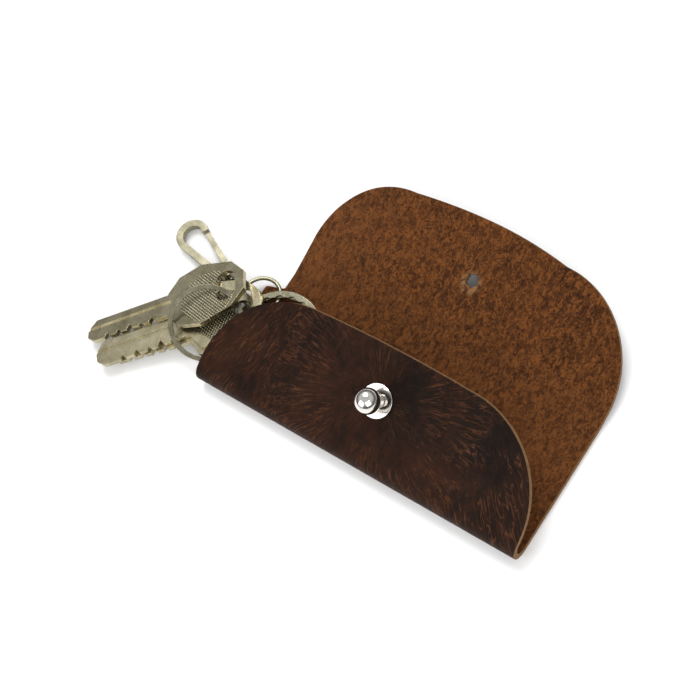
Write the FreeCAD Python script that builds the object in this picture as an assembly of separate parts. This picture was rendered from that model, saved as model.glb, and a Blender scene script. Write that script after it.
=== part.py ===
import FreeCAD, Part
import math
import os

os.makedirs("parts", exist_ok=True)

# Folded leather key pouch: back lies on the table, front and flap are open.
# X runs along the bottom fold, Y from the fold to the flap, Z up. Millimetres.
V = FreeCAD.Vector

# middle of the whole footprint, which becomes the origin
FOOT_CENTRE = V(-22.25, 36.25, 0)

# leather
LENGTH = 118.0
HALF = LENGTH / 2
SKIN = 1.8
FOLD_R = 4.5
FRONT_RISE = 25.0
FRONT_SECTOR = 150
BACK_SECTOR = 183
FRONT_DEEP = 33.6
STEP_IN = 6.2
STEP_Y = 38.0
BEND_Y = 41.3
BEND_WIDE = 13.0
BEND_GAP = 0.5
CURL_Y = 43.6
CURL_R = 10.0
CURL_TILT = 10.4
FLAP_R = 178.0
FLAP_END_Y = 84.2
HOLE_X = 2.6
HOLE_Y = 66.75
HOLE_R = 2.25
LIP_R = 6.2

# stud
STUD_S = 17.6
FLANGE_R = 5.2
BALL_R = 4.0
NECK_R = 2.0
BALL_LIFT = 6.3

# rings, given as centre, outer and inner radius, thickness, tilt about X then Y
WAVE_CENTRE = V(-44.4, 22.3, 3.94)
WAVE_OUT = 16.4
WAVE_IN = 14.3
WAVE_THICK = 1.3
WAVE_TILT_X = 3.1
WAVE_TILT_Y = -3.0
WAVE_COUNT = 20
KEYRING_CENTRE = V(-65.2, 15.8, 8.63)
KEYRING_OUT = 12.2
KEYRING_IN = 10.7
KEYRING_THICK = 0.9
KEYRING_TILT_X = 11.6
KEYRING_TILT_Y = 19.1

# leather loop that ties the wavy ring to the back panel, and its rivet
STRAP_WIDE = 9.0
STRAP_SKIN = 0.85
STRAP_LOW = 1.9
STRAP_HIGH = 6.7
RIVET = V(-21.5, 22.3, 0)
RIVET_R = 1.5
RIVET_CAP_R = 3.5

# snap hook, lying flat left of the back panel; its eye goes round the wavy ring
HOOK_Z = 2.2
HOOK_ANGLE = -17.0
HOOK_ROOT = V(-74.5, 34.6, HOOK_Z)
HOOK_HALF = 1.1
PIN_X = -0.9
PIN_Y = 1.9
PIN_R = 0.5
GATE_HALF = 0.5
EYE_CENTRE = V(-57.3, 33.43, 3.82)
EYE_R = 5.9
EYE_WIRE = 0.65
EYE_TILT_X = -9.4
EYE_TILT_Y = 7.5
STEM_R = 0.75

# keys: place round the key ring, shift from the wire, then yaw, pitch and roll
KEY_THICK = 1.6
SLOT_R = 3.4
SLOT_HALF = 2.4
UPPER_AT = 93.6
UPPER_SHIFT = V(1.0, 1.56, 0)
UPPER_TURN = (42.0, -9.3, -11.9)
FRONT_AT = 57.5
FRONT_SHIFT = V(1.76, 0.06, 0)
FRONT_TURN = (45.0, -5.2, -2.4)
UNDER_AT = 35.9
UNDER_SHIFT = V(0.5, 0.81, 0)
UNDER_TURN = (40.6, -5.4, -2.0)


def save(shape, name):
    placed = shape.copy()
    placed.translate(FOOT_CENTRE * -1)
    placed.exportStep("parts/" + name + ".step")


def turned(shape, axis, angle, centre=V(0, 0, 0)):
    copy = shape.copy()
    copy.rotate(centre, axis, angle)
    return copy


def moved(shape, by):
    copy = shape.copy()
    copy.translate(by)
    return copy


def face_of(edges):
    return Part.Face(Part.Wire(edges))


def polygon(points):
    return face_of(Part.makePolygon(points + [points[0]]).Edges)


def arc(a, b, c):
    return Part.Arc(a, b, c).toShape()


def line(a, b):
    return Part.makeLine(a, b)


def slab(x0, x1, y0, y1, z0, z1):
    return Part.makeBox(x1 - x0, y1 - y0, z1 - z0, V(x0, y0, z0))


def fold_point(radius, degrees):
    a = math.radians(degrees)
    return V(-HALF, FOLD_R + radius * math.cos(a), FOLD_R + radius * math.sin(a))


def fold_sector(a0, a1):
    inner = FOLD_R - SKIN
    mid = (a0 + a1) / 2
    edges = [
        arc(fold_point(FOLD_R, a0), fold_point(FOLD_R, mid), fold_point(FOLD_R, a1)),
        line(fold_point(FOLD_R, a1), fold_point(inner, a1)),
        arc(fold_point(inner, a1), fold_point(inner, mid), fold_point(inner, a0)),
        line(fold_point(inner, a0), fold_point(FOLD_R, a0)),
    ]
    return face_of(edges).extrude(V(LENGTH, 0, 0))


def back_panel():
    edge = BEND_Y - BEND_GAP / 2
    plate = slab(-HALF, HALF, FOLD_R, edge, 0, SKIN)
    plate = plate.cut(slab(-HALF - 1, -HALF + STEP_IN, STEP_Y, 50, -1, 3))
    panel = plate.fuse(fold_sector(BACK_SECTOR, 270))
    panel = panel.removeSplitter()
    rivet = V(RIVET.x, RIVET.y, 0)
    panel = panel.cut(Part.makeCylinder(RIVET_R + 0.03, 9, rivet - V(0, 0, 1)))
    return panel.cut(Part.makeCylinder(RIVET_CAP_R + 0.1, 0.9, rivet - V(0, 0, 0.1)))


def front_axis():
    a = math.radians(FRONT_RISE)
    return V(0, math.cos(a), math.sin(a)), V(0, -math.sin(a), math.cos(a))


def front_point(x, s, h):
    along, out = front_axis()
    root = V(x, FOLD_R, FOLD_R) + out * (FOLD_R + h)
    return root + along * s


def front_panel():
    left_r, right_r, bow = 32.0, 30.4, 3.4
    top = FRONT_DEEP
    lx = -HALF + left_r
    rx = HALF - right_r
    ly = top - bow * (lx / HALF) ** 2
    ry = top - bow * (rx / HALF) ** 2
    k = math.sqrt(0.5)

    def p(x, s):
        return front_point(x, s, 0)

    edges = [
        line(p(-HALF, 0), p(-HALF, ly - left_r)),
        arc(p(-HALF, ly - left_r), p(lx - left_r * k, ly - left_r + left_r * k), p(lx, ly)),
        arc(p(lx, ly), p((lx + rx) / 2, top), p(rx, ry)),
        arc(p(rx, ry), p(rx + right_r * k, ry - right_r + right_r * k), p(HALF, ry - right_r)),
        line(p(HALF, ry - right_r), p(HALF, 0)),
        line(p(HALF, 0), p(-HALF, 0)),
    ]
    out = front_axis()[1]
    plate = face_of(edges).extrude(out * -SKIN)
    panel = plate.fuse(fold_sector(90 + FRONT_RISE, FRONT_SECTOR)).removeSplitter()
    bore = Part.makeCylinder(1.65, 6, front_point(HOLE_X, STUD_S, -4), out)
    return panel.cut(bore)


def flap_profile():
    # flesh side curve from the fold line of the bend to the flap tip, as arcs
    tilt = math.radians(CURL_TILT)
    a = V(-HALF, BEND_Y, SKIN)
    b = V(-HALF, CURL_Y, SKIN)
    c = b + V(0, CURL_R * math.sin(tilt), CURL_R * (1 - math.cos(tilt)))
    d = tilt + 40.6 / FLAP_R
    return a, b, c, tilt, d


def curved_sheet():
    a, b, c, tilt, last = flap_profile()

    def on_curl(r, t):
        return b + V(0, r * math.sin(t), CURL_R - r * math.cos(t))

    centre = c + V(0, -FLAP_R * math.sin(tilt), FLAP_R * math.cos(tilt))

    def on_flap(r, t):
        return centre + V(0, r * math.sin(t), -r * math.cos(t))

    down = V(0, 0, -SKIN)
    low = CURL_R + SKIN
    far = FLAP_R + SKIN
    half = (tilt + last) / 2
    edges = [
        line(a, b),
        arc(b, on_curl(CURL_R, tilt / 2), c),
        arc(c, on_flap(FLAP_R, half), on_flap(FLAP_R, last)),
        line(on_flap(FLAP_R, last), on_flap(far, last)),
        arc(on_flap(far, last), on_flap(far, half), on_flap(far, tilt)),
        arc(on_curl(low, tilt), on_curl(low, tilt / 2), b + down),
        line(b + down, a + down),
        line(a + down, a),
    ]
    return face_of(Part.sortEdges(edges)[0]).extrude(V(LENGTH, 0, 0))


def flap_outline():
    x0 = -HALF + STEP_IN
    x1 = HALF
    left, right = 25.4, 31.2
    top = FLAP_END_Y
    yl = top - 1.6
    yr = top - 2.6
    mid = (x0 + x1) / 2
    k = math.sqrt(0.5)
    z = -5
    edges = [
        line(V(x0, 30, z), V(x0, yl - left, z)),
        arc(V(x0, yl - left, z), V(x0 + left - left * k, yl - left + left * k, z), V(x0 + left, yl, z)),
        arc(V(x0 + left, yl, z), V(mid - 1, top, z), V(x1 - right, yr, z)),
        arc(V(x1 - right, yr, z), V(x1 - right + right * k, yr - right + right * k, z),
            V(x1, yr - right, z)),
        line(V(x1, yr - right, z), V(x1, 30, z)),
        line(V(x1, 30, z), V(x0, 30, z)),
    ]
    return face_of(edges).extrude(V(0, 0, 40))


def upper_leather():
    return curved_sheet().common(flap_outline())


def bend_end_y():
    a, b, c, tilt, last = flap_profile()
    run = BEND_Y + BEND_WIDE - CURL_Y - CURL_R * tilt
    return c.y + FLAP_R * (math.sin(tilt + run / FLAP_R) - math.sin(tilt))


def bend_strip():
    y0 = BEND_Y + BEND_GAP / 2
    y1 = bend_end_y() - BEND_GAP / 2
    return upper_leather().common(slab(-70, 70, y0, y1, -5, 30))


def hole_axis():
    a, b, c, tilt, last = flap_profile()
    centre = c + V(0, -FLAP_R * math.sin(tilt), FLAP_R * math.cos(tilt))
    t = math.asin((HOLE_Y - centre.y) / FLAP_R)
    spot = centre + V(0, FLAP_R * math.sin(t), -FLAP_R * math.cos(t))
    return V(HOLE_X, spot.y, spot.z), V(0, -math.sin(t), math.cos(t))


def flap():
    y0 = bend_end_y() + BEND_GAP / 2
    body = upper_leather().common(slab(-70, 70, y0, 100, -5, 40))
    spot, up = hole_axis()
    return body.cut(Part.makeCylinder(LIP_R + 0.05, 12, spot - up * 6, up))


def stud_hole_lip():
    spot, up = hole_axis()
    ring = Part.makeCylinder(LIP_R, 12, spot - up * 6, up)
    ring = ring.cut(Part.makeCylinder(HOLE_R, 12, spot - up * 6, up))
    return upper_leather().common(ring)


def stud():
    out = front_axis()[1]
    base = front_point(HOLE_X, STUD_S, 0.15)
    flange = Part.makeCylinder(FLANGE_R, 0.9, base, out)
    neck = Part.makeCylinder(NECK_R, BALL_LIFT, base, out)
    ball = Part.makeSphere(BALL_R, base + out * BALL_LIFT)
    shape = flange.fuse(neck).fuse(ball).removeSplitter()
    return shape.cut(Part.makeCylinder(1.23, 3.2, base - out * 0.1, out))


def stud_screw():
    out = front_axis()[1]
    base = front_point(HOLE_X, STUD_S, -SKIN - 0.15)
    head = Part.makeCylinder(4.0, 0.8, base - out * 0.8, out)
    shank = Part.makeCylinder(1.2, SKIN + 3.0, base, out)
    screw = head.fuse(shank).removeSplitter()
    slot = Part.makeBox(9, 0.9, 0.8, V(-4.5, -0.45, -0.4))
    slot = turned(slot, V(1, 0, 0), FRONT_RISE)
    return screw.cut(moved(slot, base - out * 0.8))


def ring_strap():
    # leather loop round the wavy ring, its two ends riveted flat together
    y = WAVE_CENTRE.y - STRAP_WIDE / 2
    low, high, skin = STRAP_LOW, STRAP_HIGH, STRAP_SKIN
    ring_x = WAVE_CENTRE.x + (WAVE_OUT + WAVE_IN) / 2
    left = ring_x - 2.6
    end = RIVET.x + 4.2
    join = RIVET.x - 4.0
    mid = (low + high) / 2

    def p(x, z):
        return V(x, y, z)

    outer = [
        line(p(end, low), p(end, low + 2 * skin)),
        line(p(end, low + 2 * skin), p(join, low + 2 * skin)),
        line(p(join, low + 2 * skin), p(ring_x + 2.0, high)),
        line(p(ring_x + 2.0, high), p(left, high)),
        arc(p(left, high), p(left - 2.2, mid), p(left, low)),
        line(p(left, low), p(end, low)),
    ]
    inner = [
        line(p(left, low + skin), p(join - 1.2, low + skin)),
        line(p(join - 1.2, low + skin), p(ring_x + 1.6, high - skin)),
        line(p(ring_x + 1.6, high - skin), p(left, high - skin)),
        arc(p(left, high - skin), p(left - 2.2 + skin, mid), p(left, low + skin)),
    ]
    loop = face_of(outer).cut(face_of(inner)).extrude(V(0, STRAP_WIDE, 0))
    return loop.cut(Part.makeCylinder(RIVET_R + 0.03, 9, V(RIVET.x, RIVET.y, 0)))


def strap_rivet():
    cap = Part.makeCylinder(RIVET_CAP_R, 0.65, V(RIVET.x, RIVET.y, 0.05))
    top = STRAP_LOW + 2 * STRAP_SKIN + 0.45
    post = Part.makeCylinder(RIVET_R, top - 0.3, V(RIVET.x, RIVET.y, 0.3))
    return cap.fuse(post).removeSplitter()


def strap_rivet_cap():
    base = V(RIVET.x, RIVET.y, STRAP_LOW + 2 * STRAP_SKIN + 0.05)
    dome = Part.makeCylinder(RIVET_CAP_R, 1.0, base)
    dome = dome.makeFillet(0.45, [dome.Edges[0]])
    return dome.cut(Part.makeCylinder(RIVET_R + 0.02, 0.5, base - V(0, 0, 0.02)))


def ring_plate(outer, inner, thick):
    disc = Part.makeCylinder(outer, thick, V(0, 0, -thick / 2))
    return disc.cut(Part.makeCylinder(inner, thick + 2, V(0, 0, -thick / 2 - 1)))


def split_ring(outer, inner, thick, gap):
    # two coils joined over a short bridge, with a thin gap between them
    ring = ring_plate(outer, inner, thick)
    slit = ring_plate(outer + 1, inner - 1, gap)
    bridge = Part.makeBox(2 * outer, 6, thick, V(0, -3, -thick / 2))
    return ring.cut(slit.cut(bridge))


def wave_split_ring():
    ring = split_ring(WAVE_OUT, WAVE_IN, WAVE_THICK, 0.14)
    for i in range(WAVE_COUNT):
        a = 360.0 * (i + 0.5) / WAVE_COUNT
        bite = Part.makeCylinder(1.6, 2, V(WAVE_IN - 1.0, 0, 0.1))
        ring = ring.cut(turned(bite, V(0, 0, 1), a))
    ring = turned(ring, V(1, 0, 0), WAVE_TILT_X)
    ring = turned(ring, V(0, 1, 0), WAVE_TILT_Y)
    return moved(ring, WAVE_CENTRE)


def key_ring():
    ring = split_ring(KEYRING_OUT, KEYRING_IN, KEYRING_THICK, 0.12)
    ring = turned(ring, V(1, 0, 0), KEYRING_TILT_X)
    ring = turned(ring, V(0, 1, 0), KEYRING_TILT_Y)
    return moved(ring, KEYRING_CENTRE)


def ring_spot(degrees):
    # place on the key ring's wire at an angle round the ring
    r = KEYRING_IN + 0.6
    a = math.radians(degrees)
    spot = V(r * math.cos(a), r * math.sin(a), 0)
    turn = FreeCAD.Rotation(V(0, 1, 0), KEYRING_TILT_Y)
    turn = turn.multiply(FreeCAD.Rotation(V(1, 0, 0), KEYRING_TILT_X))
    return KEYRING_CENTRE + turn.multVec(spot)


def key_blank(head, blade_long, blade_wide, shoulder, bites, bite_deep, depth_side):
    half = blade_wide / 2
    tip = shoulder - blade_long
    bow = polygon([V(x, y, 0) for x, y in head]).extrude(V(0, 0, KEY_THICK))
    edge = [V(shoulder + 1, half, 0), V(tip + 3, half, 0), V(tip, half - 3.2, 0)]
    edge = edge + [V(tip, -half + 2.0, 0), V(tip + 2.4, -half, 0), V(shoulder + 1, -half, 0)]
    blade = polygon(edge).extrude(V(0, 0, KEY_THICK))
    key = bow.fuse(blade)
    for x, deep in bites:
        y = -half * depth_side
        out = y - depth_side
        notch = [V(x - 1.7, out, 0), V(x, y + deep * depth_side, 0), V(x + 1.7, out, 0)]
        key = key.cut(polygon(notch).extrude(V(0, 0, KEY_THICK)))
    groove = Part.makeBox(blade_long + 2, 1.1, 0.5, V(tip - 1, 0.4, KEY_THICK - 0.45))
    key = key.cut(groove)
    groove = Part.makeBox(blade_long + 2, 1.1, 0.5, V(tip - 1, -1.6, -0.05))
    key = key.cut(groove)
    slot = slab(-SLOT_R, SLOT_R, -SLOT_HALF, SLOT_HALF, -2, 4)
    slot = slot.fuse(Part.makeCylinder(SLOT_R, 6, V(0, SLOT_HALF, -2)))
    slot = slot.fuse(Part.makeCylinder(SLOT_R, 6, V(0, -SLOT_HALF, -2)))
    key = key.cut(slot)
    return moved(key, V(0, 0, -KEY_THICK / 2)).removeSplitter()


def key_place(key, spot, shift, turn):
    yaw, pitch, roll = turn
    key = moved(key, shift)
    key = turned(key, V(1, 0, 0), roll)
    key = turned(key, V(0, 1, 0), pitch)
    key = turned(key, V(0, 0, 1), yaw)
    return moved(key, spot)


def key_upper():
    head = [(-21, -4.6), (-17, -9.8), (-9, -12), (2, -9), (6.5, -3.5)]
    head = head + [(6.5, 3.5), (2, 9), (-9, 12), (-17, 9.8), (-21, 4.6)]
    bites = [(-27, 1.6), (-31, 1.0), (-35.2, 2.0), (-39.4, 1.3), (-43.6, 1.8)]
    key = key_blank(head, 30.0, 8.2, -21, bites, 2, 1)
    return key_place(key, ring_spot(UPPER_AT), UPPER_SHIFT, UPPER_TURN)


def key_front():
    head = [(-19, -4.8), (-16, -9.5), (-8, -11.5), (2, -8.6), (6.2, -3)]
    head = head + [(6.2, 3), (2, 8.6), (-8, 11.5), (-16, 9.5), (-19, 4.8)]
    bites = [(-25, 1.2), (-29.3, 1.9), (-33.6, 1.1), (-38, 1.7), (-43, 1.4)]
    key = key_blank(head, 33.0, 8.4, -19, bites, 2, 1)
    return key_place(key, ring_spot(FRONT_AT), FRONT_SHIFT, FRONT_TURN)


def key_under():
    head = [(-18, -4.4), (-15.5, -9), (-8, -11), (2, -8.2), (6.0, -3)]
    head = head + [(6.0, 3), (2, 8.2), (-8, 11), (-15.5, 9), (-18, 4.4)]
    bites = [(-23, 1.5), (-27, 1.0), (-31, 1.8), (-35, 1.2), (-39, 1.6)]
    key = key_blank(head, 28.0, 8.0, -18, bites, 2, 1)
    return key_place(key, ring_spot(UNDER_AT), UNDER_SHIFT, UNDER_TURN)


def hook_place(shape):
    # hook frame: -x is the crook end, origin at the swivel collar
    return moved(turned(shape, V(0, 0, 1), HOOK_ANGLE), HOOK_ROOT)


def hook_body():
    # flat crook with a bracket for the gate and a round collar for the swivel
    h = HOOK_HALF

    def p(x, y):
        return V(x, y, -h)

    outline = [
        line(p(1.2, 3.0), p(1.2, -2.6)),
        line(p(1.2, -2.6), p(-3.2, -3.6)),
        line(p(-3.2, -3.6), p(-17.8, -5.4)),
        arc(p(-17.8, -5.4), p(-24.2, 0.4), p(-18.6, 5.9)),
        line(p(-18.6, 5.9), p(-16.2, 5.3)),
        line(p(-16.2, 5.3), p(-16.9, 3.2)),
        line(p(-16.9, 3.2), p(-18.8, 3.7)),
        arc(p(-18.8, 3.7), p(-21.8, 0.3), p(-18.0, -3.1)),
        line(p(-18.0, -3.1), p(-4.4, -1.4)),
        line(p(-4.4, -1.4), p(-3.4, 0.4)),
        line(p(-3.4, 0.4), p(-2.2, 3.0)),
        line(p(-2.2, 3.0), p(1.2, 3.0)),
    ]
    body = face_of(outline).extrude(V(0, 0, 2 * h))
    room = GATE_HALF + 0.07
    body = body.cut(slab(-6, 0.7, 0.55, 5, -room, room))
    body = body.cut(Part.makeCylinder(PIN_R + 0.03, 4, V(PIN_X, PIN_Y, -2)))
    collar = Part.makeCylinder(2.1, 2.0, V(1.1, 0, 0), V(1, 0, 0))
    body = body.fuse(collar).removeSplitter()
    bore = Part.makeCylinder(STEM_R + 0.05, 4.2, V(0.2, 0, 0), V(1, 0, 0))
    return hook_place(body.cut(bore))


def gate():
    z = -GATE_HALF
    arm = [V(PIN_X - 0.9, PIN_Y - 0.9, z), V(PIN_X + 0.8, PIN_Y - 0.9, z)]
    arm = arm + [V(PIN_X + 0.8, PIN_Y + 0.8, z), V(-15.4, 5.1, z), V(-15.9, 3.5, z)]
    bar = polygon(arm).extrude(V(0, 0, 2 * GATE_HALF))
    return hook_place(bar.cut(Part.makeCylinder(PIN_R + 0.03, 4, V(PIN_X, PIN_Y, -2))))


def gate_pin():
    return hook_place(Part.makeCylinder(PIN_R, 2.16, V(PIN_X, PIN_Y, -1.08)))


def swivel_eye():
    loop = Part.makeTorus(EYE_R, EYE_WIRE)
    up = turned(Part.makeLine(V(0, 0, 0), V(0, 0, 1)), V(1, 0, 0), EYE_TILT_X)
    up = turned(up, V(0, 1, 0), EYE_TILT_Y).Vertexes[1].Point
    loop = turned(loop, V(1, 0, 0), EYE_TILT_X)
    loop = turned(loop, V(0, 1, 0), EYE_TILT_Y)
    loop = moved(loop, EYE_CENTRE)
    start = hook_place(Part.Vertex(V(0.45, 0, 0))).Point
    near = hook_place(Part.Vertex(V(4.6, 0, 0))).Point
    stem = Part.makeCylinder(STEM_R, (near - start).Length, start, near - start)
    out = near - EYE_CENTRE
    out = out - up * out.dot(up)
    rim = EYE_CENTRE + out.normalize() * EYE_R
    neck = Part.makeCylinder(EYE_WIRE, (rim - near).Length, near, rim - near)
    joint = Part.makeSphere(STEM_R, near)
    return loop.fuse(neck).fuse(stem).fuse(joint).removeSplitter()


if __name__ == "__main__":
    save(back_panel(), "back_panel")
    save(front_panel(), "front_panel")
    save(bend_strip(), "bend_strip")
    save(flap(), "flap")
    save(stud_hole_lip(), "stud_hole_lip")
    save(stud(), "stud")
    save(stud_screw(), "stud_screw")
    save(ring_strap(), "ring_strap")
    save(strap_rivet(), "strap_rivet")
    save(strap_rivet_cap(), "strap_rivet_cap")
    save(wave_split_ring(), "wave_split_ring")
    save(key_ring(), "key_ring")
    save(key_upper(), "key_upper")
    save(key_front(), "key_front")
    save(key_under(), "key_under")
    save(hook_body(), "hook_body")
    save(gate(), "gate")
    save(gate_pin(), "gate_pin")
    save(swivel_eye(), "swivel_eye")
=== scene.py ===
import math
import bpy
from mathutils import Matrix, Vector, noise


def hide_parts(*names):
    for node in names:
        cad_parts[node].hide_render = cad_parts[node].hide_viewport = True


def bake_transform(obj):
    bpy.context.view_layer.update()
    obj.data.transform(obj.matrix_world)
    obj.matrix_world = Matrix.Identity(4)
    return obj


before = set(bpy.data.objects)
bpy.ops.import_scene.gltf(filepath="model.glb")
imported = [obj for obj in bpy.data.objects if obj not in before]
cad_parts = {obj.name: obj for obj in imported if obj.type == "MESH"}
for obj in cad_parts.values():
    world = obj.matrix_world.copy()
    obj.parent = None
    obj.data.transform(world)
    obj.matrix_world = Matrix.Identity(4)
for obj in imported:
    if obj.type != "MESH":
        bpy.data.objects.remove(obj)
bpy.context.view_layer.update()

MM = 0.001

# leather sizes, in millimetres, in the pouch's own frame: X along the bottom fold,
# Y from the fold towards the flap, Z up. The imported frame's origin is elsewhere.
FOOT_X = -22.25
FOOT_Y = 36.25
HALF = 59.0
SKIN = 1.8
FOLD_R = 4.5
FRONT_RISE = math.radians(25.0)
FRONT_DEEP = 33.6
FRONT_LEFT_R = 32.0
FRONT_RIGHT_R = 30.4
FRONT_BOW = 3.4
SEAM_BACK_Y = 22.0
STEP_X = -52.8
STEP_Y = 38.0
CURL_Y = 43.6
CURL_R = 10.0
CURL_TILT = math.radians(10.4)
FLAP_R = 178.0
FLAP_SIDE_LEFT_R = 25.4
FLAP_SIDE_RIGHT_R = 31.2
FLAP_END_Y = 84.2
SEAM_STRIP_Y = 47.9
BEND_END_Y = 54.1
HOLE = (2.6, 66.75)
STUD_FOOT = (2.6, 19.5)
COLUMNS = 190

# metal details
KNURL_SCALE = 370.0
KNURL_LEAN = 0.62
EDGE_ROUND = 0.28 * MM


def place(x, y, z):
    return Vector(((x - FOOT_X) * MM, (y - FOOT_Y) * MM, z * MM))


# ---------------------------------------------------------------- node helpers
class Nodes:
    """A small builder for one procedural material."""

    def __init__(self, name, tree=None, coordinates="Object"):
        """Starts a new material, or works in the given node tree."""
        if tree is None:
            self.mat = bpy.data.materials.new(name)
            self.mat.use_nodes = True
            tree = self.mat.node_tree
            self.shader = tree.nodes["Principled BSDF"]
        self.tree = tree
        self.where = tree.nodes.new("ShaderNodeTexCoord").outputs[coordinates]

    def link(self, a, b):
        self.tree.links.new(a, b)

    def scaled(self, x, y, z, turn=(0.0, 0.0, 0.0)):
        node = self.tree.nodes.new("ShaderNodeMapping")
        node.inputs["Scale"].default_value = (x, y, z)
        node.inputs["Rotation"].default_value = turn
        self.link(self.where, node.inputs["Vector"])
        return node.outputs["Vector"]

    def noise(self, vector, scale, detail=4.0, rough=0.6, warp=0.0):
        node = self.tree.nodes.new("ShaderNodeTexNoise")
        node.inputs["Scale"].default_value = scale
        node.inputs["Detail"].default_value = detail
        node.inputs["Roughness"].default_value = rough
        node.inputs["Distortion"].default_value = warp
        self.link(vector, node.inputs["Vector"])
        return node.outputs["Fac"]

    def cells(self, vector, scale, feature="DISTANCE_TO_EDGE", spread=1.0):
        node = self.tree.nodes.new("ShaderNodeTexVoronoi")
        node.feature = feature
        node.inputs["Scale"].default_value = scale
        node.inputs["Randomness"].default_value = spread
        self.link(vector, node.inputs["Vector"])
        return node.outputs["Distance"]

    def ramp(self, fac, stops):
        node = self.tree.nodes.new("ShaderNodeValToRGB")
        band = node.color_ramp
        while len(band.elements) < len(stops):
            band.elements.new(0.5)
        for element, (at, colour) in zip(band.elements, stops):
            element.position = at
            if not isinstance(colour, tuple):
                colour = (colour, colour, colour)
            element.color = colour + (1.0,)
        self.link(fac, node.inputs["Fac"])
        return node.outputs["Color"]

    def mix(self, fac, a, b, kind="MIX"):
        node = self.tree.nodes.new("ShaderNodeMix")
        node.data_type = "RGBA"
        node.blend_type = kind
        for value, slot in ((fac, 0), (a, 6), (b, 7)):
            if isinstance(value, (int, float)):
                node.inputs[slot].default_value = value
            elif isinstance(value, tuple):
                node.inputs[slot].default_value = value + (1.0,)
            else:
                self.link(value, node.inputs[slot])
        return node.outputs[2]

    def math(self, kind, a, b=0.0, c=None):
        node = self.tree.nodes.new("ShaderNodeMath")
        node.operation = kind
        values = (a, b) if c is None else (a, b, c)
        for value, slot in zip(values, node.inputs):
            if isinstance(value, (int, float)):
                slot.default_value = value
            else:
                self.link(value, slot)
        return node.outputs["Value"]

    def distance(self, x, y):
        """Distance in plan from a point of the leather, in metres."""
        centre = place(x, y, 0)
        dx = self.math("SUBTRACT", self.axis(0), centre.x)
        dy = self.math("SUBTRACT", self.axis(1), centre.y)
        squares = self.math("ADD", self.math("MULTIPLY", dx, dx), self.math("MULTIPLY", dy, dy))
        return self.math("SQRT", squares)

    def fan(self, x, y, around, along):
        """Coordinates that make a texture run outwards from a point of the leather."""
        centre = place(x, y, 0)
        far = self.math("MAXIMUM", self.distance(x, y), 0.0005)
        node = self.tree.nodes.new("ShaderNodeCombineXYZ")
        for index, middle in enumerate((centre.x, centre.y)):
            part = self.math("DIVIDE", self.math("SUBTRACT", self.axis(index), middle), far)
            self.link(self.math("MULTIPLY", part, around), node.inputs[index])
        self.link(self.math("MULTIPLY", far, along), node.inputs[2])
        return node.outputs["Vector"]

    def axis(self, index):
        node = self.tree.nodes.new("ShaderNodeSeparateXYZ")
        self.link(self.where, node.inputs["Vector"])
        return node.outputs[index]

    def band(self, value, low, high):
        node = self.tree.nodes.new("ShaderNodeMapRange")
        node.interpolation_type = "SMOOTHSTEP"
        node.inputs["From Min"].default_value = low
        node.inputs["From Max"].default_value = high
        self.link(value, node.inputs["Value"])
        return node.outputs["Result"]

    def bump(self, height, strength, depth, after=None):
        node = self.tree.nodes.new("ShaderNodeBump")
        node.inputs["Strength"].default_value = strength
        node.inputs["Distance"].default_value = depth
        self.link(height, node.inputs["Height"])
        if after is not None:
            self.link(after, node.inputs["Normal"])
        return node.outputs["Normal"]

    def finish(self, colour=None, rough=None, normal=None, metal=0.0, spec=0.5, coat=0.0, sheen=0.0):
        s = self.shader.inputs
        if colour is not None:
            self.link(colour, s["Base Color"])
        if rough is not None:
            self.link(rough, s["Roughness"])
        if normal is not None:
            self.link(normal, s["Normal"])
        s["Metallic"].default_value = metal
        s["Specular IOR Level"].default_value = spec
        s["Coat Weight"].default_value = coat
        s["Sheen Weight"].default_value = sheen
        if sheen:
            s["Sheen Roughness"].default_value = 0.5
            s["Sheen Tint"].default_value = (0.75, 0.50, 0.30, 1.0)
        return self.mat


def wheel(n, x, y, radius_low, radius_high):
    """1 inside a round patch of the leather, fading to 0 outside."""
    node = n.band(n.distance(x, y), radius_low * MM, radius_high * MM)
    return n.math("SUBTRACT", 1.0, node)


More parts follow.
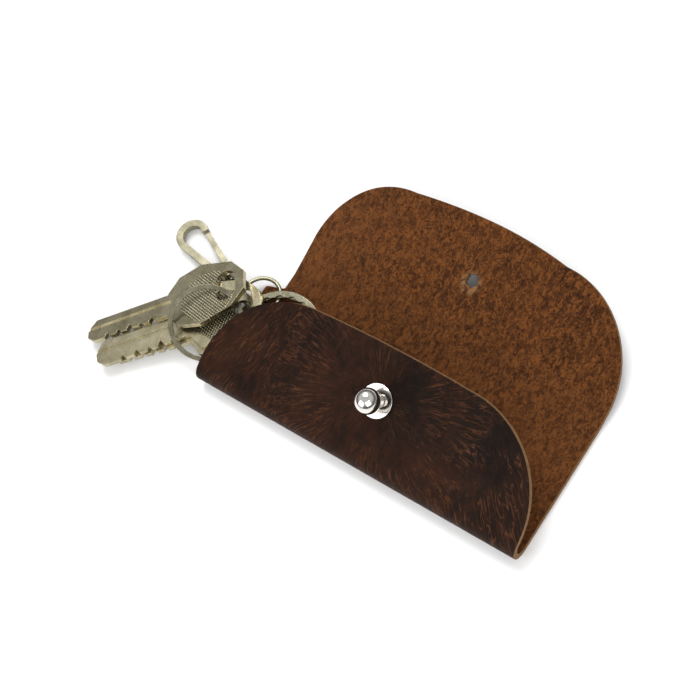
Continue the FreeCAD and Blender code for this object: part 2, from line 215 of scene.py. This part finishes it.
def grain_leather():
    n = Nodes("grain_leather")
    everywhere = n.scaled(1, 1, 1)
    drawn = n.scaled(1.0, 0.45, 0.5, (0.0, 0.0, 0.35))
    cloud = n.noise(everywhere, 55.0, 5.0, 0.62, 0.8)
    marble = n.noise(drawn, 260.0, 8.0, 0.72, 1.6)
    colour = n.ramp(cloud, [(0.30, (0.0075, 0.0034, 0.0018)), (0.46, (0.0140, 0.0060, 0.0028)),
                            (0.60, (0.0260, 0.0105, 0.0046)), (0.76, (0.0430, 0.0170, 0.0072))])
    red = n.ramp(marble, [(0.46, 0.0), (0.58, 0.6), (0.72, 1.0)])
    colour = n.mix(n.math("MULTIPLY", red, 0.62), colour, (0.060, 0.0205, 0.0092))
    # near-black patches on the upper middle and the upper right of the front
    dark = n.math("MAXIMUM", wheel(n, 12, 24, 4, 21), wheel(n, 42, 23, 3, 20))
    high = n.band(n.axis(2), 9.5 * MM, 15.0 * MM)
    dark = n.math("MULTIPLY", dark, n.math("MULTIPLY", high, n.band(cloud, 0.34, 0.56)))
    colour = n.mix(n.math("MULTIPLY", dark, 0.86), colour, (0.0050, 0.0032, 0.0026))
    # the rubbed bottom fold is lighter and warmer
    low = n.math("SUBTRACT", 1.0, n.band(n.axis(2), 3.0 * MM, 10.0 * MM))
    worn = n.math("MULTIPLY", low, n.band(n.noise(everywhere, 160.0, 6.0, 0.7, 0.4), 0.42, 0.62))
    colour = n.mix(n.math("MULTIPLY", worn, 0.45), colour, (0.075, 0.034, 0.018))
    # fine wrinkles fan out from the stud; the far left end has its own fan
    left_fan = n.band(n.distance(*STUD_FOOT), 28.0 * MM, 44.0 * MM)
    crease = n.mix(left_fan, n.noise(n.fan(*STUD_FOOT, 30.0, 120.0), 1.0, 2.5, 0.5, 0.6),
                   n.noise(n.fan(-14.0, 78.0, 74.0, 120.0), 1.0, 2.5, 0.5, 0.6))
    ridge = n.math("ABSOLUTE", n.math("SUBTRACT", crease, 0.5))
    line = n.ramp(ridge, [(0.0, 1.0), (0.012, 0.7), (0.036, 0.0)])
    patchy = n.band(n.noise(everywhere, 85.0, 3.0, 0.5), 0.36, 0.60)
    colour = n.mix(n.math("MULTIPLY", n.math("MULTIPLY", line, patchy), 0.75), colour, (0.150, 0.066, 0.032))
    colour = n.mix(1.0, colour, (0.68, 0.56, 0.46), "MULTIPLY")
    pores = n.cells(everywhere, 2100.0)
    fine = n.ramp(pores, [(0.0, 0.0), (0.12, 0.8), (0.3, 1.0)])
    normal = n.bump(fine, 0.22, 0.00010)
    normal = n.bump(n.math("SUBTRACT", 1.0, line), 0.60, 0.00022, normal)
    normal = n.bump(n.noise(everywhere, 110.0, 3.0, 0.5), 0.30, 0.0010, normal)
    rough = n.ramp(n.noise(everywhere, 200.0, 5.0, 0.6), [(0.3, 0.46), (0.7, 0.66)])
    return n.finish(colour, rough, normal, spec=0.10)


def flesh_leather():
    n = Nodes("flesh_leather")
    everywhere = n.scaled(1, 1, 1)
    brushed = n.scaled(1.0, 0.6, 0.7, (0.0, 0.0, 0.6))
    cloud = n.noise(everywhere, 48.0, 6.0, 0.66, 0.6)
    nap = n.noise(brushed, 640.0, 9.0, 0.80, 0.9)
    speck = n.noise(everywhere, 1150.0, 5.0, 0.8)
    colour = n.ramp(cloud, [(0.32, (0.036, 0.0115, 0.0028)), (0.50, (0.058, 0.0185, 0.0045)),
                            (0.68, (0.090, 0.0300, 0.0078))])
    colour = n.mix(n.ramp(nap, [(0.45, 0.0), (0.56, 0.90)]), colour, (0.190, 0.064, 0.0150))
    colour = n.mix(n.ramp(speck, [(0.40, 0.90), (0.49, 0.0)]), colour, (0.017, 0.0045, 0.0010))
    # painted light: the flesh side is painted lighter and more orange along the left edge and beside the
    # bend, where it faces the light more; the nap pattern breaks it up
    left = n.math("SUBTRACT", 1.0, n.band(n.axis(0), place(-50, 0, 0).x, place(-18, 0, 0).x))
    near = n.math("SUBTRACT", 1.0, n.band(n.axis(1), place(0, 46, 0).y, place(0, 60, 0).y))
    painted_light_mask = n.math("MAXIMUM", n.math("MULTIPLY", left, 0.50), n.math("MULTIPLY", near, 0.35))
    colour = n.mix(n.math("MULTIPLY", painted_light_mask, n.band(nap, 0.36, 0.58)), colour, (0.150, 0.054, 0.0170))
    rim = wheel(n, HOLE[0], HOLE[1] - 0.8, 2.6, 4.4)
    colour = n.mix(n.math("MULTIPLY", rim, n.band(nap, 0.42, 0.56)), colour, (0.24, 0.115, 0.048))
    normal = n.bump(speck, 0.60, 0.00030)
    normal = n.bump(nap, 0.85, 0.00070, normal)
    rough = n.ramp(cloud, [(0.3, 0.88), (0.7, 0.97)])
    return n.finish(colour, rough, normal, spec=0.12, sheen=0.10)


def cut_leather():
    n = Nodes("cut_leather")
    long = n.scaled(1.0, 1.0, 6.0)
    fibre = n.noise(long, 700.0, 6.0, 0.7)
    colour = n.ramp(fibre, [(0.30, (0.085, 0.040, 0.016)), (0.50, (0.200, 0.108, 0.045)),
                            (0.70, (0.330, 0.205, 0.100))])
    return n.finish(colour, n.ramp(fibre, [(0.3, 0.75), (0.7, 0.92)]), n.bump(fibre, 0.6, 0.0003), spec=0.2)


def tab_leather():
    n = Nodes("tab_leather")
    everywhere = n.scaled(1, 1, 1)
    cloud = n.noise(everywhere, 260.0, 6.0, 0.65)
    colour = n.ramp(cloud, [(0.3, (0.080, 0.034, 0.014)), (0.7, (0.155, 0.075, 0.034))])
    pores = n.ramp(n.cells(everywhere, 1300.0), [(0.0, 0.0), (0.2, 1.0)])
    return n.finish(colour, n.ramp(cloud, [(0.3, 0.5), (0.7, 0.7)]), n.bump(pores, 0.4, 0.0002), spec=0.35)


def knurl(n, direction):
    """Diamond pattern pressed into a key's head: two sets of crossing fine grooves."""
    waves = []
    for lean in (-KNURL_LEAN, KNURL_LEAN):
        node = n.tree.nodes.new("ShaderNodeTexWave")
        node.bands_direction = "X"
        node.inputs["Scale"].default_value = KNURL_SCALE
        n.link(n.scaled(1, 1, 1, (0.0, 0.0, direction + lean)), node.inputs["Vector"])
        waves.append(node.outputs["Fac"])
    return n.math("MULTIPLY", *waves)


def metal(name, dark, light, rough_low, rough_high, lines=0.0, grime=0.35, pits=0.12, head=None):
    """Plated or rolled metal with handling marks, tarnish in the hollows and fine scratches."""
    n = Nodes(name)
    everywhere = n.scaled(1, 1, 1)
    cloud = n.noise(everywhere, 190.0, 6.0, 0.65, 0.4)
    colour = n.ramp(cloud, [(0.28, dark), (0.70, light)])
    scratch = n.noise(n.scaled(1.0, 14.0, 3.0, (0.2, 0.1, 0.85)), 330.0, 7.0, 0.75)
    other = n.noise(n.scaled(12.0, 1.0, 3.0, (0.0, 0.3, 0.3)), 300.0, 7.0, 0.75)
    marks = n.math("ADD", n.math("MULTIPLY", scratch, 0.5), n.math("MULTIPLY", other, 0.5))
    stain = n.ramp(n.noise(everywhere, 420.0, 8.0, 0.75, 1.0), [(0.52, 0.0), (0.72, 1.0)])
    tarnish = tuple(0.42 * c for c in dark)
    colour = n.mix(n.math("MULTIPLY", stain, grime), colour, tarnish)
    rough = n.ramp(marks, [(0.36, rough_low), (0.66, rough_high)])
    dents = n.noise(everywhere, 900.0, 4.0, 0.6)
    edge = n.tree.nodes.new("ShaderNodeBevel")
    edge.samples = 4
    edge.inputs["Radius"].default_value = EDGE_ROUND
    normal = n.bump(dents, pits, 0.00010, edge.outputs["Normal"])
    normal = n.bump(marks, 0.10 + lines, 0.00010, normal)
    if head is not None:
        x, y, reach = head
        inside = wheel(n, x, y, reach, reach + 0.5)
        pattern = n.math("MULTIPLY", knurl(n, math.radians(-45)), inside)
        colour = n.mix(n.math("MULTIPLY", n.math("SUBTRACT", inside, pattern), 0.75), colour, tarnish)
        normal = n.bump(pattern, 1.0, 0.00022, normal)
    return n.finish(colour, rough, normal, metal=1.0)


# ---------------------------------------------------------------- leather skin
def fold_point(radius, angle):
    return FOLD_R + radius * math.cos(angle), FOLD_R + radius * math.sin(angle)


def front_point(run, depth):
    """Point on the front panel, run mm up from the fold and depth mm inwards."""
    radius = FOLD_R - depth
    y, z = fold_point(radius, math.radians(90) + FRONT_RISE)
    return y + run * math.cos(FRONT_RISE), z + run * math.sin(FRONT_RISE)


def front_top(x):
    """How far up the front panel reaches at x."""
    left_x = -HALF + FRONT_LEFT_R
    right_x = HALF - FRONT_RIGHT_R
    left_y = FRONT_DEEP - FRONT_BOW * (left_x / HALF) ** 2
    right_y = FRONT_DEEP - FRONT_BOW * (right_x / HALF) ** 2
    if x < left_x:
        return left_y - FRONT_LEFT_R + math.sqrt(max(0.0, FRONT_LEFT_R ** 2 - (x - left_x) ** 2))
    if x > right_x:
        return right_y - FRONT_RIGHT_R + math.sqrt(max(0.0, FRONT_RIGHT_R ** 2 - (x - right_x) ** 2))
    return FRONT_DEEP - FRONT_BOW * (x / HALF) ** 2


def upper_point(y_flat, depth):
    """Point on the back, curl and flap: y_flat is the length run flat from Y = 0."""
    if y_flat <= CURL_Y:
        return y_flat, SKIN - depth
    run = y_flat - CURL_Y
    turned = min(run / CURL_R, CURL_TILT)
    y = CURL_Y + (CURL_R + depth) * math.sin(turned)
    z = SKIN + CURL_R - (CURL_R + depth) * math.cos(turned)
    rest = run - CURL_R * CURL_TILT
    if rest > 0:
        base_y = CURL_Y + CURL_R * math.sin(CURL_TILT)
        base_z = SKIN + CURL_R - CURL_R * math.cos(CURL_TILT)
        a = CURL_TILT + rest / FLAP_R
        y = base_y - FLAP_R * math.sin(CURL_TILT) + (FLAP_R + depth) * math.sin(a)
        z = base_z + FLAP_R * math.cos(CURL_TILT) - (FLAP_R + depth) * math.cos(a)
    return y, z


def upper_run(y):
    """The flat length at which the flap's flesh side reaches y."""
    base_y = CURL_Y + CURL_R * math.sin(CURL_TILT)
    a = math.asin((y - base_y) / FLAP_R + math.sin(CURL_TILT))
    return CURL_Y + CURL_R * CURL_TILT + FLAP_R * (a - CURL_TILT)


def flap_top(x):
    """How far the flap reaches in Y at x."""
    left_x = STEP_X + FLAP_SIDE_LEFT_R
    right_x = HALF - FLAP_SIDE_RIGHT_R
    left_y = FLAP_END_Y - 1.6
    right_y = FLAP_END_Y - 2.6
    if x < left_x:
        return left_y - FLAP_SIDE_LEFT_R + math.sqrt(max(0.0, FLAP_SIDE_LEFT_R ** 2 - (x - left_x) ** 2))
    if x > right_x:
        return right_y - FLAP_SIDE_RIGHT_R + math.sqrt(max(0.0, FLAP_SIDE_RIGHT_R ** 2 - (x - right_x) ** 2))
    middle = (left_x + right_x) / 2
    half = (right_x - left_x) / 2
    t = (x - middle) / half
    side = left_y if t < 0 else right_y
    return FLAP_END_Y - (FLAP_END_Y - side) * t * t


def column(i):
    return 0.5 - 0.5 * math.cos(math.pi * i / COLUMNS)


def ripple(x, s, seed):
    """Small soft unevenness of hand-cut leather, in millimetres."""
    broad = noise.noise(Vector((x * 0.045, s * 0.045, seed)))
    return broad + 0.4 * noise.noise(Vector((x * 0.13, s * 0.13, seed)))


def sheet(name, outer, inner, holes=None, open_start=False, open_end=False):
    """A leather sheet from two equal grids of points, with its cut edges closed."""
    rows, cols = len(outer), len(outer[0])
    verts = [p for row in outer for p in row] + [p for row in inner for p in row]
    shift = rows * cols
    faces, kinds = [], []

    def at(i, j, side):
        return side * shift + i * cols + j

    for i in range(rows - 1):
        for j in range(cols - 1):
            if holes and holes(i, j):
                continue
            faces.append((at(i, j, 0), at(i, j + 1, 0), at(i + 1, j + 1, 0), at(i + 1, j, 0)))
            kinds.append(0)
            faces.append((at(i, j, 1), at(i + 1, j, 1), at(i + 1, j + 1, 1), at(i, j + 1, 1)))
            kinds.append(1)
    border = []
    for i in range(rows - 1):
        border.append(((i + 1, 0), (i, 0)))
        border.append(((i, cols - 1), (i + 1, cols - 1)))
    for j in range(cols - 1):
        if not open_start:
            border.append(((0, j), (0, j + 1)))
        if not open_end:
            border.append(((rows - 1, j + 1), (rows - 1, j)))
    if holes:
        for i in range(1, rows - 2):
            for j in range(1, cols - 2):
                if not holes(i, j):
                    continue
                if not holes(i - 1, j):
                    border.append(((i, j + 1), (i, j)))
                if not holes(i + 1, j):
                    border.append(((i + 1, j), (i + 1, j + 1)))
                if not holes(i, j - 1):
                    border.append(((i, j), (i + 1, j)))
                if not holes(i, j + 1):
                    border.append(((i + 1, j + 1), (i, j + 1)))
    for a, b in border:
        middle = []
        for i, j in (a, b):
            middle.append(len(verts))
            verts.append((outer[i][j] + inner[i][j]) / 2)
        faces.append((at(*b, 0), at(*a, 0), middle[0], middle[1]))
        faces.append((middle[1], middle[0], at(*a, 1), at(*b, 1)))
        kinds += [2, 2]
    mesh = bpy.data.meshes.new(name)
    mesh.from_pydata([tuple(v) for v in verts], [], faces)
    for polygon, kind in zip(mesh.polygons, kinds):
        polygon.material_index = kind
        polygon.use_smooth = kind != 2
    mesh.update()
    piece = bpy.data.objects.new(name, mesh)
    bpy.context.scene.collection.objects.link(piece)
    for material in (GRAIN, FLESH, CUT):
        mesh.materials.append(material)
    return piece


def front_skin():
    """Front panel, bottom fold and the nearer half of the back, as one sheet."""
    outer, inner = [], []
    steps_front, steps_fold, steps_back = 64, 34, 26
    angle_top = math.radians(90) + FRONT_RISE
    for i in range(steps_front + steps_fold + steps_back + 1):
        row_out, row_in = [], []
        for j in range(COLUMNS + 1):
            x = -HALF + 2 * HALF * column(j)
            if i <= steps_front:
                run = front_top(x) * (1 - i / steps_front)
                fade = min(1.0, run / 8.0)
                lift = 0.22 * ripple(x, run, 3.0) * fade
                out = front_point(run, -lift)
                inn = front_point(run, SKIN - lift)
            elif i <= steps_front + steps_fold:
                t = (i - steps_front) / steps_fold
                angle = angle_top + t * (math.radians(270) - angle_top)
                out = fold_point(FOLD_R, angle)
                inn = fold_point(FOLD_R - SKIN, angle)
            else:
                t = (i - steps_front - steps_fold) / steps_back
                y = FOLD_R + t * (SEAM_BACK_Y - FOLD_R)
                out = (y, 0.0)
                inn = (y, SKIN)
            row_out.append(place(x, *out))
            row_in.append(place(x, *inn))
        outer.append(row_out)
        inner.append(row_in)
    return sheet("pouch_front_skin", outer, inner, open_end=True)


def left_edge(y):
    """Left edge of the back: full width, then a small rounded step inwards."""
    t = min(1.0, max(0.0, (y - STEP_Y + 1.2) / 2.4))
    return -HALF + (STEP_X + HALF) * t * t * (3 - 2 * t)


def back_skin():
    """Farther half of the back and the nearer half of the bend."""
    outer, inner = [], []
    steps = 60
    for i in range(steps + 1):
        run = SEAM_BACK_Y + (SEAM_STRIP_Y - SEAM_BACK_Y) * i / steps
        left = left_edge(run)
        row_out, row_in = [], []
        for j in range(COLUMNS + 1):
            x = left + (HALF - left) * column(j)
            row_out.append(place(x, *upper_point(run, SKIN)))
            row_in.append(place(x, *upper_point(run, 0.0)))
        outer.append(row_out)
        inner.append(row_in)
    return sheet("pouch_back_skin", outer, inner, open_start=True, open_end=True)


def hole_radius(angle):
    """The hole's edge is torn in a few places, so its radius changes round it."""
    nick = max(0.0, math.cos(5 * angle + 0.6)) ** 3
    return 2.05 + 0.55 * nick + 0.14 * math.sin(11 * angle)


def pushed_out(x, run):
    """Moves a point that lies inside the hole out to its edge, and says whether it did."""
    dx, dy = x - HOLE[0], run - HOLE_RUN
    far = math.hypot(dx, dy)
    edge = hole_radius(math.atan2(dy, dx))
    if far >= edge:
        return x, run, False
    if far < 1e-6:
        dx, far = 1e-6, 1e-6
    return HOLE[0] + dx / far * edge, HOLE_RUN + dy / far * edge, True


def flap_skin():
    """Farther half of the bend and the flap, with the small punched hole."""
    outer, inner, inside = [], [], set()
    steps = 110
    for i in range(steps + 1):
        row_out, row_in = [], []
        for j in range(COLUMNS + 1):
            x = STEP_X + (HALF - STEP_X) * column(j)
            end = upper_run(flap_top(x))
            run = SEAM_STRIP_Y + (end - SEAM_STRIP_Y) * i / steps
            x, run, gone = pushed_out(x, run)
            if gone:
                inside.add((i, j))
            fade = min(1.0, max(0.0, (run - BEND_END_Y) / 8.0))
            lift = 0.30 * ripple(x, run, 9.0) * fade
            row_out.append(place(x, *upper_point(run, SKIN - lift)))
            row_in.append(place(x, *upper_point(run, -lift)))
        outer.append(row_out)
        inner.append(row_in)

    def gap(i, j):
        return all(k in inside for k in ((i, j), (i + 1, j), (i, j + 1), (i + 1, j + 1)))

    return sheet("pouch_flap_skin", outer, inner, holes=gap, open_start=True)


HOLE_RUN = upper_run(HOLE[1])
GRAIN = grain_leather()
FLESH = flesh_leather()
CUT = cut_leather()

front = front_skin()
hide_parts("front_panel")
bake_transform(front)
back = back_skin()
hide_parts("back_panel")
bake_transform(back)
flap = flap_skin()
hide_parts("bend_strip", "flap", "stud_hole_lip")
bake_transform(flap)

# ---------------------------------------------------------------- metal parts
KEY_DARK, KEY_LIGHT = (0.300, 0.262, 0.160), (0.560, 0.510, 0.350)
NICKEL_DARK, NICKEL_LIGHT = (0.170, 0.155, 0.098), (0.400, 0.375, 0.265)
HEADS = {"key_upper": (-69.3, 23.1, 9.0), "key_front": (-61.4, 20.6, 8.6), "key_under": (-60.6, 18.0, 8.0)}


def key_metal(node):
    return metal(node + "_metal", KEY_DARK, KEY_LIGHT, 0.18, 0.38, lines=0.05, grime=0.22, head=HEADS[node])


ring_metal = metal("ring_metal", NICKEL_DARK, NICKEL_LIGHT, 0.16, 0.34)
hook_metal = metal("hook_metal", NICKEL_DARK, NICKEL_LIGHT, 0.22, 0.42, grime=0.45)
stud_metal = metal("stud_metal", (0.60, 0.57, 0.53), (0.80, 0.78, 0.74), 0.06, 0.14, grime=0.15, pits=0.02)
rivet_metal = metal("rivet_metal", NICKEL_DARK, NICKEL_LIGHT, 0.25, 0.45)
MATERIALS = {
    "key_upper": key_metal("key_upper"), "key_front": key_metal("key_front"),
    "key_under": key_metal("key_under"),
    "key_ring": ring_metal, "wave_split_ring": ring_metal,
    "hook_body": hook_metal, "gate": hook_metal, "gate_pin": hook_metal, "swivel_eye": hook_metal,
    "stud": stud_metal, "stud_screw": rivet_metal,
    "strap_rivet": rivet_metal, "strap_rivet_cap": rivet_metal, "ring_strap": tab_leather(),
}
for node, material in MATERIALS.items():
    mesh = bpy.data.objects[node].data
    mesh.materials.clear()
    mesh.materials.append(material)

# ---------------------------------------------------------------- stage and light
bpy.ops.mesh.primitive_plane_add(size=6.0, location=(0, 0, 0))
floor = bpy.context.object
floor.name = "floor"
paper = Nodes("paper")
paper_colour = paper.ramp(paper.noise(paper.scaled(1, 1, 1), 3.0), [(0.3, 0.93), (0.7, 0.95)])
floor.data.materials.append(paper.finish(paper_colour, spec=0.1))
paper.shader.inputs["Roughness"].default_value = 0.9

SKY_STRENGTH = 0.62
world = bpy.data.worlds.new("studio")
world.use_nodes = True
sky = Nodes("sky", world.node_tree, "Generated")
shade = sky.ramp(sky.axis(2), [(0.0, 0.22), (0.30, 0.30), (0.62, 1.15), (1.0, 1.0)])
sky.link(shade, world.node_tree.nodes["Background"].inputs["Color"])
world.node_tree.nodes["Background"].inputs["Strength"].default_value = SKY_STRENGTH
bpy.context.scene.world = world
TARGET = place(0, 35, 5)


def soft_light(name, where, size, power, colour=(1.0, 1.0, 1.0)):
    lamp = bpy.data.lights.new(name, "AREA")
    lamp.shape = "SQUARE"
    lamp.size = size
    lamp.energy = power
    lamp.color = colour
    lamp_object = bpy.data.objects.new(name, lamp)
    bpy.context.scene.collection.objects.link(lamp_object)
    lamp_object.location = where
    lamp_object.rotation_euler = (TARGET - Vector(where)).to_track_quat("-Z", "Y").to_euler()


soft_light("key_light", (-0.35, 0.45, 0.95), 0.6, 8.0)
soft_light("fill_light", (0.75, -0.45, 0.75), 0.8, 5.0)
soft_light("front_light", (-0.25, -0.85, 0.55), 0.8, 4.0)

# ---------------------------------------------------------------- camera
CAMERA_AT = place(194.4, -67.24, 426.84)
CAMERA_RIGHT = Vector((0.7913, 0.5461, -0.2751))
CAMERA_UP = Vector((-0.4211, 0.8129, 0.4024))
CAMERA_LENS = 81.56
camera_data = bpy.data.cameras.new("camera")
camera_data.sensor_width = 36.0
camera_data.lens = CAMERA_LENS
camera_data.clip_start = 0.01
camera = bpy.data.objects.new("camera", camera_data)
bpy.context.scene.collection.objects.link(camera)
right = CAMERA_RIGHT.normalized()
up = (CAMERA_UP - right * CAMERA_UP.dot(right)).normalized()
turn = Matrix((right, up, right.cross(up))).transposed()
camera.matrix_world = Matrix.Translation(CAMERA_AT) @ turn.to_4x4()
bpy.context.scene.camera = camera
bpy.context.scene.view_settings.view_transform = "Standard"
